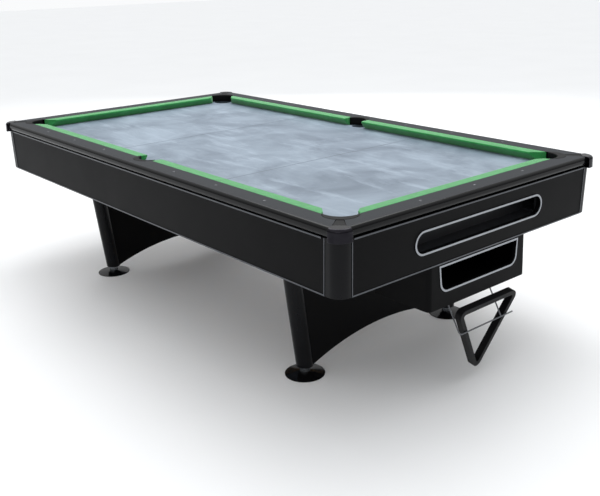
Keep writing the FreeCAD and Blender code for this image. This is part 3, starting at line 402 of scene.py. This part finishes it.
# each plain finish: tones, patch and grain in mm, gloss range, edge rounding in mm
plainLooks = {
    # black melamine board: near-black, satin, a faint pressed grain
    "cabinet_laminate": ("blackMelamine", {
        "dark": "#060607", "light": "#0A0A0B", "worn": "#1E1E21", "wear": 0.4, "edge": 2.5,
        "patch": 140, "grain": 2.2, "relief": 0.12, "depth": 0.1, "rough": (0.38, 0.5),
        "shader": {"IOR": 1.5, "Specular IOR Level": 0.06},
    }),
    # high-gloss moulded ABS: deep black with sharp reflections
    "gloss_post": ("glossBlackAbs", {
        "dark": "#08080A", "light": "#0D0E11", "worn": "#25262B", "wear": 0.4, "edge": 2.5,
        "patch": 90, "grain": 14, "relief": 0.05, "depth": 0.15, "rough": (0.16, 0.26),
        "shader": {"IOR": 1.53, "Specular IOR Level": 0.12},
    }),
    # moulded rubber: soft black with a dull shine on its lip
    "pocket_rubber": ("mouldedRubber", {
        "dark": "#070708", "light": "#0C0C0D", "worn": "#1E1E20", "wear": 0.3, "edge": 1.5,
        "patch": 25, "grain": 1.6, "relief": 0.3, "depth": 0.15, "rough": (0.4, 0.55),
        "shader": {"IOR": 1.52, "Specular IOR Level": 0.12},
    }),
    # black-nickel plate on die-cast zinc: mirror-like, dark, a little uneven
    "dark_chrome": ("blackNickelPlate", {
        "dark": "#1C1B1F", "light": "#2B2A2E", "worn": "#6A6870", "wear": 0.3, "edge": 2,
        "patch": 22, "grain": 12, "relief": 0.06, "depth": 0.2, "rough": (0.07, 0.16),
        "shader": {"Metallic": 1.0},
    }),
    # vacuum-formed plastic: charcoal and matt
    "ball_run_plastic": ("formedPlastic", {
        "dark": "#1E1F22", "light": "#2B2C30", "worn": "#45464A", "wear": 0.4, "edge": 1.5,
        "patch": 60, "grain": 2.0, "relief": 0.25, "depth": 0.15, "rough": (0.45, 0.6),
        "shader": {"IOR": 1.49},
    }),
    # zinc-plated turned steel: bright, cool, faint tool marks
    "zinc_steel": ("zincPlatedSteel", {
        "dark": "#7F8388", "light": "#9B9FA4", "worn": "#C8CACD", "wear": 0.3, "edge": 1,
        "patch": 12, "grain": 0.9, "relief": 0.2, "depth": 0.05, "rough": (0.18, 0.32),
        "stretch": (1, 1, 6), "shader": {"Metallic": 1.0},
    }),
    # drawn aluminium strip, grey-silver with fine draw lines, painted darker than the frames round the
    # openings: painted shade on the apron trims
    "bright_trim": ("aluminiumPaintedShade", {
        "dark": "#46484B", "light": "#5C5E62", "worn": "#7C7E82", "wear": 0.3, "edge": 0.8,
        "patch": 30, "grain": 1.2, "relief": 0.15, "depth": 0.05, "rough": (0.16, 0.3),
        "shader": {"Metallic": 1.0},
    }),
    # stoved enamel on steel: black, glossy, a slight orange peel
    "foot_enamel": ("stovedEnamel", {
        "dark": "#09090A", "light": "#0F0F11", "worn": "#2A2A2D", "wear": 0.35, "edge": 1.5,
        "patch": 40, "grain": 3.5, "relief": 0.15, "depth": 0.1, "rough": (0.1, 0.2),
        "shader": {"IOR": 1.5, "Specular IOR Level": 0.14},
    }),
    # dull-plated wire: mid grey metal, slightly rough
    "holder_wire": ("platedWire", {
        "dark": "#5C5E62", "light": "#77797D", "worn": "#8E9094", "wear": 0.2, "edge": 0.6,
        "patch": 15, "grain": 1.0, "relief": 0.2, "depth": 0.05, "rough": (0.3, 0.45),
        "shader": {"Metallic": 1.0},
    }),
    # injection-moulded polypropylene: black with a fine spark-eroded texture
    "rack_plastic": ("rackPolypropylene", {
        "dark": "#080809", "light": "#0D0D0F", "worn": "#2B2B2F", "wear": 0.5, "edge": 3,
        "patch": 30, "grain": 1.2, "relief": 0.3, "depth": 0.12, "rough": (0.36, 0.48),
        "shader": {"IOR": 1.49, "Specular IOR Level": 0.14},
    }),
    # the same aluminium painted lighter for the frames round the openings and the sights: a painted highlight
    "bright_frame": ("aluminiumPaintedLight", {
        "dark": "#84878B", "light": "#9EA1A6", "worn": "#C4C6C9", "wear": 0.3, "edge": 0.8,
        "patch": 30, "grain": 1.2, "relief": 0.15, "depth": 0.05, "rough": (0.12, 0.24),
        "shader": {"Metallic": 1.0},
    }),
}
# nodes given the lighter aluminium copy: painted light on the frames round the openings and on the sights
paintedLitNodes = ("window_trim", "box_trim", "rail_sights")

finishes = {slotName: plainFinish(name, look) for slotName, (name, look) in plainLooks.items()}
finishes["slate"] = honedSlate(slateLook)
finishes["cushion_cloth"] = billiardCloth(clothLook)
finishes["rail_laminate"] = railLaminate(railLook)
finishes["frame_timber"] = planedPine(timberLook)
for part in frame["record"]["subparts"]:
    node = frame["nodes"][part["node"]]
    node.data.materials.clear()
    finish = "bright_frame" if part["node"] in paintedLitNodes else part["material_slot"]
    node.data.materials.append(finishes[finish])
print("finishes made:", len(finishes))

cushionLook = {
    "depth": 53.6,  # mm from nose to rail
    "noseHigh": 833, "noseHalf": 3.2,  # the flattened nose
    "topAtNose": 838.4, "topAtRail": 839.8, "crown": 0.3,
    "shoulder": 7.0,  # the quarter round behind the nose
    "underRound": 1.5, "underDrop": 0.9,  # the small round under the nose
    "wedge": 27, "bedHigh": 797.5,  # the underside slopes to the bed over this depth
    "tuck": 1.6, "tuckDeep": 1.4,  # groove where the cloth is pinched against the rail
    "tuckWave": 1.3,  # half wave of the groove, in tucks: above 1 the groove stays open at the rail
    "endRound": 2.6,  # cloth folded round the facings
    "across": 42, "crowding": 1.8,  # section points, drawn together towards the nose
    "stations": 60, "foldSteps": 7,
    "sharp": 50,  # degrees
}
fieldLook = {
    "noseX": 1270, "noseY": 635,
    "cornerPlace": (1281, 642), "cornerClear": 70.5,
    "sidePlace": 672, "sideClear": 66.5,
    "longStart": 66.5, "longEnd": 1174, "endEnd": 539,
    "cornerFacing": 38, "sideFacing": 76,  # degrees
}


def insideCircle(radius, offset):
    # half chord of a circle at this distance from its centre, 0 outside it
    return np.sqrt(np.maximum(radius ** 2 - offset ** 2, 0))


def cushionTop(depth, look):
    # height of the upper face: a quarter round behind the nose, a gentle crown, and the tuck at the rail
    shoulder = look["shoulder"]
    start = look["noseHigh"] + look["noseHalf"]
    rise = look["topAtNose"] - start
    rounded = start + rise * np.sqrt(1 - (1 - np.clip(depth / shoulder, 0, 1)) ** 2)
    share = np.clip((depth - shoulder) / (look["depth"] - shoulder), 0, 1)
    slope = (look["topAtRail"] - look["topAtNose"]) * share
    crown = look["crown"] * np.sin(np.pi * share)
    tuck = np.clip((depth - (look["depth"] - look["tuck"])) / look["tuck"], 0, 1)
    return rounded + slope + crown - look["tuckDeep"] * np.sin(np.pi * tuck / look["tuckWave"])


def cushionUnder(depth, look):
    # height of the lower face: a small round under the nose, a straight slope, then flat on the bed
    start = look["noseHigh"] - look["noseHalf"]
    slope = start - (start - look["bedHigh"]) * np.clip(depth / look["wedge"], 0, 1)
    rounding = np.clip(depth / look["underRound"], 0, 1)
    return slope - look["underDrop"] * (np.sqrt(rounding) - rounding)


def makeCushion(name, node, lowEnd, highEnd, place, look):
    # a section carried along the rail; its two ends follow the facings, and close with cloth folded over
    share = np.linspace(0, 1, look["across"])
    depth = look["depth"] * share ** look["crowding"]
    loopDepth = np.concatenate([depth[::-1], depth])
    loopHigh = np.concatenate([cushionTop(depth, look)[::-1], cushionUnder(depth, look)])
    fold = look["endRound"]
    nearEnd = fold * (1 - np.cos(np.linspace(0, np.pi / 2, look["foldSteps"])))
    inset = fold - np.sqrt(fold ** 2 - (fold - nearEnd) ** 2)
    middle = np.linspace(0, 1, look["stations"])[1:-1]
    stations = len(middle) + 2 * len(nearEnd)
    low, high = lowEnd(loopDepth), highEnd(loopDepth)
    firstRows = low[None] + nearEnd[:, None]
    lastRows = high[None] - nearEnd[::-1, None]
    middleRows = (low + fold)[None] + (high - low - 2 * fold)[None] * middle[:, None]
    along = np.concatenate([firstRows, middleRows, lastRows])
    pulled = np.concatenate([inset, np.zeros(len(middle)), inset[::-1]])[:, None]
    behind = pulled + loopDepth[None] * (look["depth"] - pulled) / look["depth"]
    upper = np.arange(len(loopDepth)) < len(depth)
    level = loopHigh[None] + np.where(upper, -1, 1)[None] * pulled
    points = place(along, behind, level) * mm
    count = len(loopDepth)
    steps = np.hypot(np.diff(loopDepth), np.diff(loopHigh))
    around = np.concatenate([[0], np.cumsum(steps)])
    uv = np.stack([along, np.broadcast_to(around, along.shape)], axis=-1) * mm
    faces = gridFaces(stations, count).tolist()
    pair = np.arange(count // 2)
    for first in (0, (stations - 1) * count):
        upperEdge = first + pair
        underEdge = first + count - 1 - pair
        ladder = np.stack([upperEdge[:-1], upperEdge[1:], underEdge[1:], underEdge[:-1]], axis=-1)
        faces += ladder.tolist() if first else ladder[:, ::-1].tolist()
    piece = makePiece(name, points, faces, uv)
    keepSharp(piece, look["sharp"])
    piece.data.materials.append(finishes["cushion_cloth"])
    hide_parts(node)
    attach(piece, "table")


def longLow(depth):
    field = fieldLook
    facing = field["longStart"] - depth / np.tan(np.radians(field["sideFacing"]))
    return np.maximum(facing, insideCircle(field["sideClear"], field["noseY"] + depth - field["sidePlace"]))


def longHigh(depth):
    field = fieldLook
    facing = field["longEnd"] + depth / np.tan(np.radians(field["cornerFacing"]))
    centreX, centreY = field["cornerPlace"]
    chord = insideCircle(field["cornerClear"], field["noseY"] + depth - centreY)
    return np.minimum(facing, centreX - chord)


def endHigh(depth):
    field = fieldLook
    facing = field["endEnd"] + depth / np.tan(np.radians(field["cornerFacing"]))
    centreX, centreY = field["cornerPlace"]
    chord = insideCircle(field["cornerClear"], field["noseX"] + depth - centreX)
    return np.minimum(facing, centreY - chord)


def endLow(depth):
    return -endHigh(depth)


def makeCushions():
    for endName, signX in (("foot", 1), ("head", -1)):
        for sideName, signY in (("left", 1), ("right", -1)):
            def placeLong(along, behind, level, signX=signX, signY=signY):
                across = fieldLook["noseY"] + behind
                return np.stack([signX * along, signY * across, level], axis=-1)
            name = "clothCushion" + endName.title() + sideName.title()
            node = "cushion_" + endName + "_" + sideName
            makeCushion(name, node, longLow, longHigh, placeLong, cushionLook)

        def placeEnd(along, behind, level, signX=signX):
            return np.stack([signX * (fieldLook["noseX"] + behind), along, level], axis=-1)
        makeCushion(
            "clothCushion" + endName.title() + "End", "cushion_" + endName + "_end",
            endLow, endHigh, placeEnd, cushionLook,
        )


makeCushions()
print("cushions made")

linerLook = {
    "low": 797.4, "high": 841.0,
    "lip": 6.0,  # rounding of the inner edge
    "outerRound": 1.8,
    "lipShare": 0.45, "roundShare": 0.2,  # most of the wall that each may take
    "flare": 2.5,  # the inner wall leans outwards towards the drop
    "steps": 73, "roundSteps": 8, "wallSteps": 6,
    "sharp": 50,  # degrees
}
cornerLiner = {"centre": (1281, 642), "outer": 69.8, "opening": 77.0, "offset": 47.0, "halfAngle": 88.0}
sideLiner = {"centre": (0, 672), "outer": 65.8, "opening": 63.0, "offset": 27.0, "halfAngle": 89.5}


def linerShape(liner, facing, look):
    # a rounded wall carried round the pocket: an arc outside, the wider opening circle inside
    angle = np.radians(np.linspace(-liner["halfAngle"], liner["halfAngle"], look["steps"]))[:, None]
    reach = insideCircle(liner["opening"], liner["offset"] * np.sin(angle))
    inner = reach - liner["offset"] * np.cos(angle)
    outer = np.full_like(inner, liner["outer"])
    wide = outer - inner
    lip = np.minimum(look["lip"], wide * look["lipShare"])
    edge = np.minimum(look["outerRound"], wide * look["roundShare"])
    turn = np.linspace(0, np.pi / 2, look["roundSteps"])[None]
    wallHigh = np.linspace(0, 1, look["wallSteps"])[None]
    wallRadius = inner + look["flare"] * (1 - wallHigh) ** 2
    wallLevel = look["low"] + (look["high"] - lip - look["low"]) * wallHigh
    lipRadius = inner + lip * (1 - np.cos(turn))
    lipLevel = look["high"] - lip * (1 - np.sin(turn))
    edgeRadius = outer - edge * (1 - np.sin(turn))
    edgeLevel = look["high"] - edge * (1 - np.cos(turn))
    radius = np.concatenate([wallRadius, lipRadius[:, 1:], edgeRadius, outer], axis=1)
    level = np.concatenate([wallLevel, lipLevel[:, 1:], edgeLevel, np.full_like(outer, look["low"])], axis=1)
    bearing = facing + angle
    x = liner["centre"][0] + radius * np.cos(bearing)
    y = liner["centre"][1] + radius * np.sin(bearing)
    points = np.stack([x, y, level], axis=-1) * mm
    rows, columns = radius.shape
    faces = gridFaces(rows, columns).tolist()
    section = np.arange(columns)
    faces += [section.tolist(), (section + (rows - 1) * columns)[::-1].tolist()]
    return points, faces


def placeLiner(name, node, points, faces, signX, signY):
    piece = makePiece(name, points * np.array([signX, signY, 1]), faces)
    keepSharp(piece, linerLook["sharp"])
    piece.data.materials.append(finishes["pocket_rubber"])
    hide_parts(node)
    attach(piece, "table")


def makeLiners():
    cornerShape = linerShape(cornerLiner, np.pi / 4, linerLook)
    sideShape = linerShape(sideLiner, np.pi / 2, linerLook)
    for endName, signX in (("foot", 1), ("head", -1)):
        for sideName, signY in (("left", 1), ("right", -1)):
            name = "pocketLiner" + endName.title() + sideName.title()
            placeLiner(name, "corner_rim_" + endName + "_" + sideName, *cornerShape, signX, signY)
    for sideName, signY in (("left", 1), ("right", -1)):
        placeLiner("pocketLinerSide" + sideName.title(), "side_rim_" + sideName, *sideShape, 1, signY)


makeLiners()
print("pocket liners made")

studioLook = {
    "floor": "#EEEFF0", "floorPale": "#F3F4F5",
    "floorHalf": 30.0,  # metres
    "sky": "#FAFBFC", "horizon": 0.3, "zenith": 1.25, "backdrop": 1.0,
    "lights": (
        # name, place, aims at, size, watts, whether it shows in reflections
        ("overheadPanel", (-0.6, 0.8, 4.2), (0, 0, 0.8), (4.5, 3.0), 110, True),
        ("farWindow", (-4.5, 4.2, 2.6), (0, 0, 0.8), (4.0, 2.2), 90, False),
        ("nearFill", (4.5, -5.0, 3.2), (0.3, 0, 0.5), (3.5, 2.5), 20, True),
    ),
}


def paleFloor(look):
    # painted concrete: pale, matt, very slightly mottled
    material, tree, shader, coordinates = startMaterial("paleFloor", {"Roughness": 0.8, "IOR": 1.5})
    mottle = add(
        tree, "ShaderNodeTexNoise", {"Scale": 1.2, "Detail": 3.0}, {"Vector": coordinates.outputs["Object"]}
    )
    tones = add(
        tree, "ShaderNodeMix", {6: colour(look["floor"]), 7: colour(look["floorPale"])},
        {0: mottle.outputs["Fac"]}, data_type="RGBA",
    )
    tree.links.new(tones.outputs[2], shader.inputs["Base Color"])
    return material


def addStudio(look):
    half = look["floorHalf"]
    mesh = bpy.data.meshes.new("floor")
    corners = [(-half, -half, 0), (half, -half, 0), (half, half, 0), (-half, half, 0)]
    mesh.from_pydata(corners, [], [(0, 1, 2, 3)])
    floor = bpy.data.objects.new("floor", mesh)
    floor.data.materials.append(paleFloor(look))
    bpy.context.scene.collection.objects.link(floor)
    world = bpy.data.worlds.new("studio")
    world.use_nodes = True
    tree = world.node_tree
    direction = add(tree, "ShaderNodeSeparateXYZ", {}, {
        "Vector": add(tree, "ShaderNodeTexCoord").outputs["Generated"],
    })
    height = add(
        tree, "ShaderNodeMapRange",
        {"From Min": 0.0, "From Max": 0.75, "To Min": look["horizon"], "To Max": look["zenith"]},
        {"Value": direction.outputs["Z"]},
    )
    seen = add(tree, "ShaderNodeLightPath").outputs["Is Camera Ray"]  # the backdrop itself stays white
    strength = add(tree, "ShaderNodeMix", {3: look["backdrop"]}, {0: seen, 2: height.outputs["Result"]})
    sky = tree.nodes["Background"]
    sky.inputs["Color"].default_value = colour(look["sky"])
    tree.links.new(strength.outputs[0], sky.inputs["Strength"])
    bpy.context.scene.world = world
    bpy.context.scene.view_settings.view_transform = "Standard"
    for name, place, target, size, watts, reflected in look["lights"]:
        data = bpy.data.lights.new(name, "AREA")
        data.shape = "RECTANGLE"
        data.size, data.size_y = size
        data.energy = watts
        light = bpy.data.objects.new(name, data)
        light.visible_glossy = reflected
        back = np.array(place, float) - np.array(target, float)
        back /= np.linalg.norm(back)
        right = np.cross([0, 0, 1.0], back)
        right /= np.linalg.norm(right)
        columns = np.column_stack([right, np.cross(back, right), back])
        light.matrix_world = Matrix.Translation(place) @ Matrix(columns.tolist()).to_4x4()
        bpy.context.scene.collection.objects.link(light)


addStudio(studioLook)
print("studio made")
